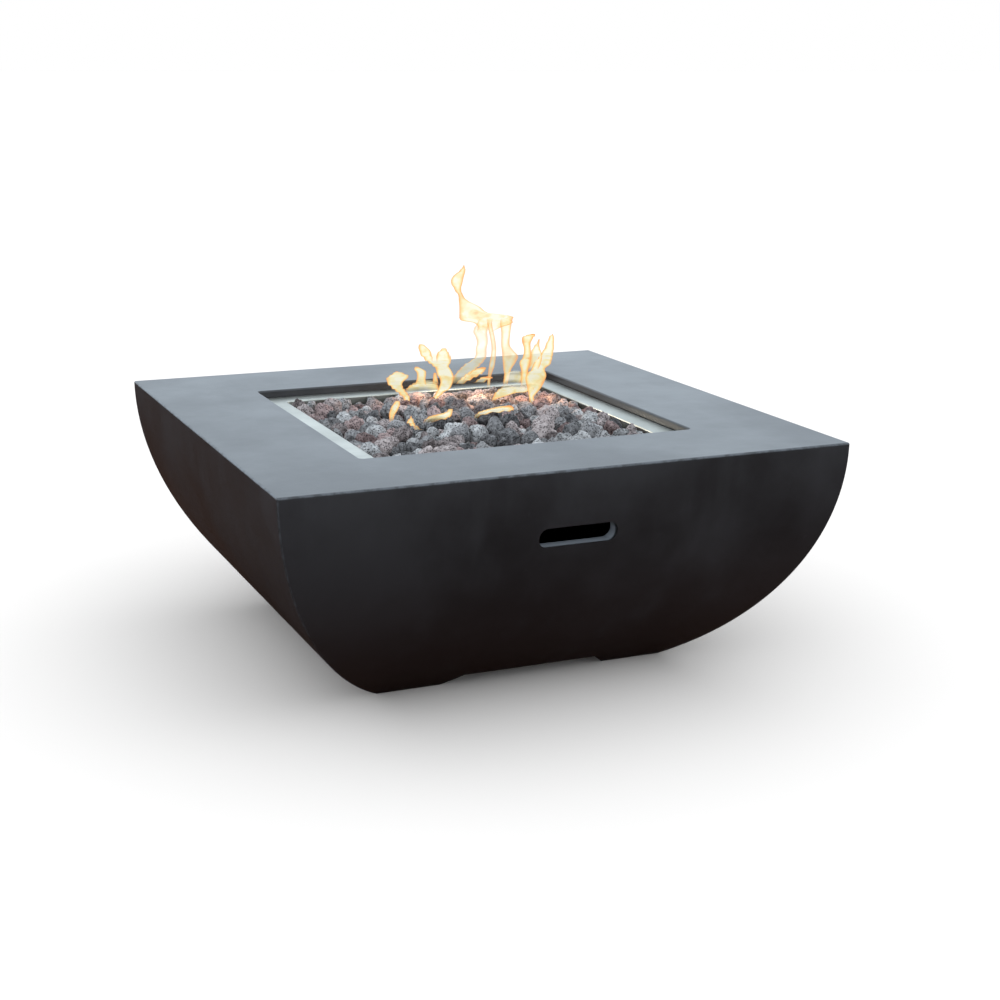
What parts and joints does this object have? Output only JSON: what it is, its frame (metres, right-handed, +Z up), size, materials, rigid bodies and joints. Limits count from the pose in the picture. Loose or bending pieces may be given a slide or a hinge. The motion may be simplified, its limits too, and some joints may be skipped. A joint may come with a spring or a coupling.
{
  "type": "gas fire bowl",
  "caption": "Square cast-concrete fire bowl with curved sides, a stainless drop-in gas burner pan, lava rocks and recessed push-and-turn gas controls.",
  "frame": {"origin": "on the ground under the middle of the bowl", "axes": "+Z up, -Y the front with one hand slot, +X the side with the gas controls"},
  "size_m": [0.864, 0.864, 0.362],
  "materials": {
    "concrete": "cast concrete, charcoal, sealed, satin",
    "stainless": "brushed",
    "zinc_steel": "bright zinc plated",
    "brass": "turned",
    "aluminium": "drawn tube",
    "copper": "drawn copper",
    "knob_black": "satin moulded",
    "black_plastic": "moulded",
    "chrome": "bright plated",
    "cell_jacket": "plain printed jacket",
    "ceramic": "glazed",
    "wire_jacket": "silicone jacket",
    "lava_rock": "porous, matte"
  },
  "bodies": {
    "bowl": {"bowl_shell": "concrete", "panel_inserts": "brass", "burner_pan": "stainless", "burner_ring": "stainless", "burner_locknut": "zinc_steel", "air_mixer": "brass", "gas_orifice": "brass", "feed_nut_mixer": "brass", "feed_nut_valve": "brass", "feed_tube": "aluminium", "control_panel": "stainless", "panel_screws": "zinc_steel", "valve_screws": "zinc_steel", "valve_body": "brass", "gas_inlet_fitting": "brass", "igniter_body": "black_plastic", "igniter_nut": "black_plastic", "igniter_cap": "chrome", "igniter_battery": "cell_jacket", "sensor_bracket": "stainless", "bracket_screws": "zinc_steel", "bracket_nuts": "zinc_steel", "electrode_insulator": "ceramic", "electrode_rod": "zinc_steel", "thermocouple": "copper", "igniter_wire": "wire_jacket", "thermocouple_nut": "brass", "thermocouple_lead": "copper", "lava_rocks": "lava_rock"},
    "valve_plunger": {"valve_push_pin": "zinc_steel"},
    "knob": {"control_knob": "knob_black", "valve_stem": "zinc_steel"},
    "button": {"igniter_button": "black_plastic"}
  },
  "joints": [
    {"name": "knob_push", "type": "slide", "parent": "bowl", "child": "valve_plunger", "axis": [-1, 0, 0], "range_m": [0, 0.005], "stiffness_N_per_m": 600, "springref_m": -0.004},
    {"name": "knob_turn", "type": "hinge", "parent": "valve_plunger", "child": "knob", "pos_m": [0.39797, -0.034, 0.272], "axis": [1, 0, 0], "range_deg": [-90, 90]},
    {"name": "igniter_press", "type": "slide", "parent": "bowl", "child": "button", "axis": [-1, 0, 0], "range_m": [0, 0.004], "stiffness_N_per_m": 500, "springref_m": -0.004}
  ]
}
